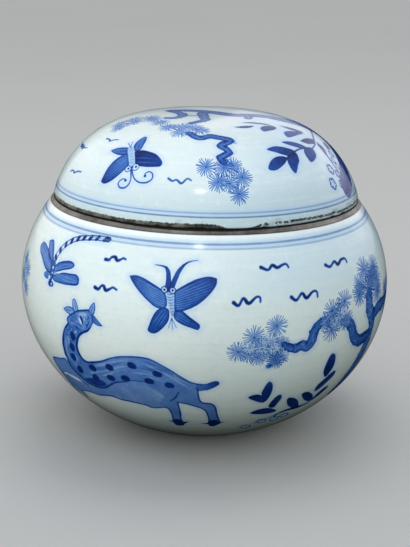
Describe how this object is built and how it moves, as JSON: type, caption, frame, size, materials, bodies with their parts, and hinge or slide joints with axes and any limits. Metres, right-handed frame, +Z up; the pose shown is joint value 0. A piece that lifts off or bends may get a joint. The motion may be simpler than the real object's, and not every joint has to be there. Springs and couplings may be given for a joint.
{
  "type": "covered pot",
  "caption": "Round-bellied porcelain pot with a thin metal band folded over its mouth and a domed cover that seats on the band.",
  "frame": {"origin": "middle of the foot's resting plane, on the turning axis", "axes": "+Z up along the turning axis; -Y faces the viewer of the pictured side, with +X to the viewer's right"},
  "size_m": [0.19, 0.19, 0.1614],
  "materials": {
    "pot_porcelain": "gloss",
    "cover_porcelain": "gloss",
    "band_metal": "satin"
  },
  "bodies": {
    "pot": {"pot_body": "pot_porcelain", "mouth_band": "band_metal"},
    "cover": {"cover": "cover_porcelain"}
  },
  "joints": [
    {"name": "cover_lift", "type": "slide", "parent": "pot", "child": "cover", "axis": [0, 0, 1], "range_m": [0, 0.12]}
  ]
}
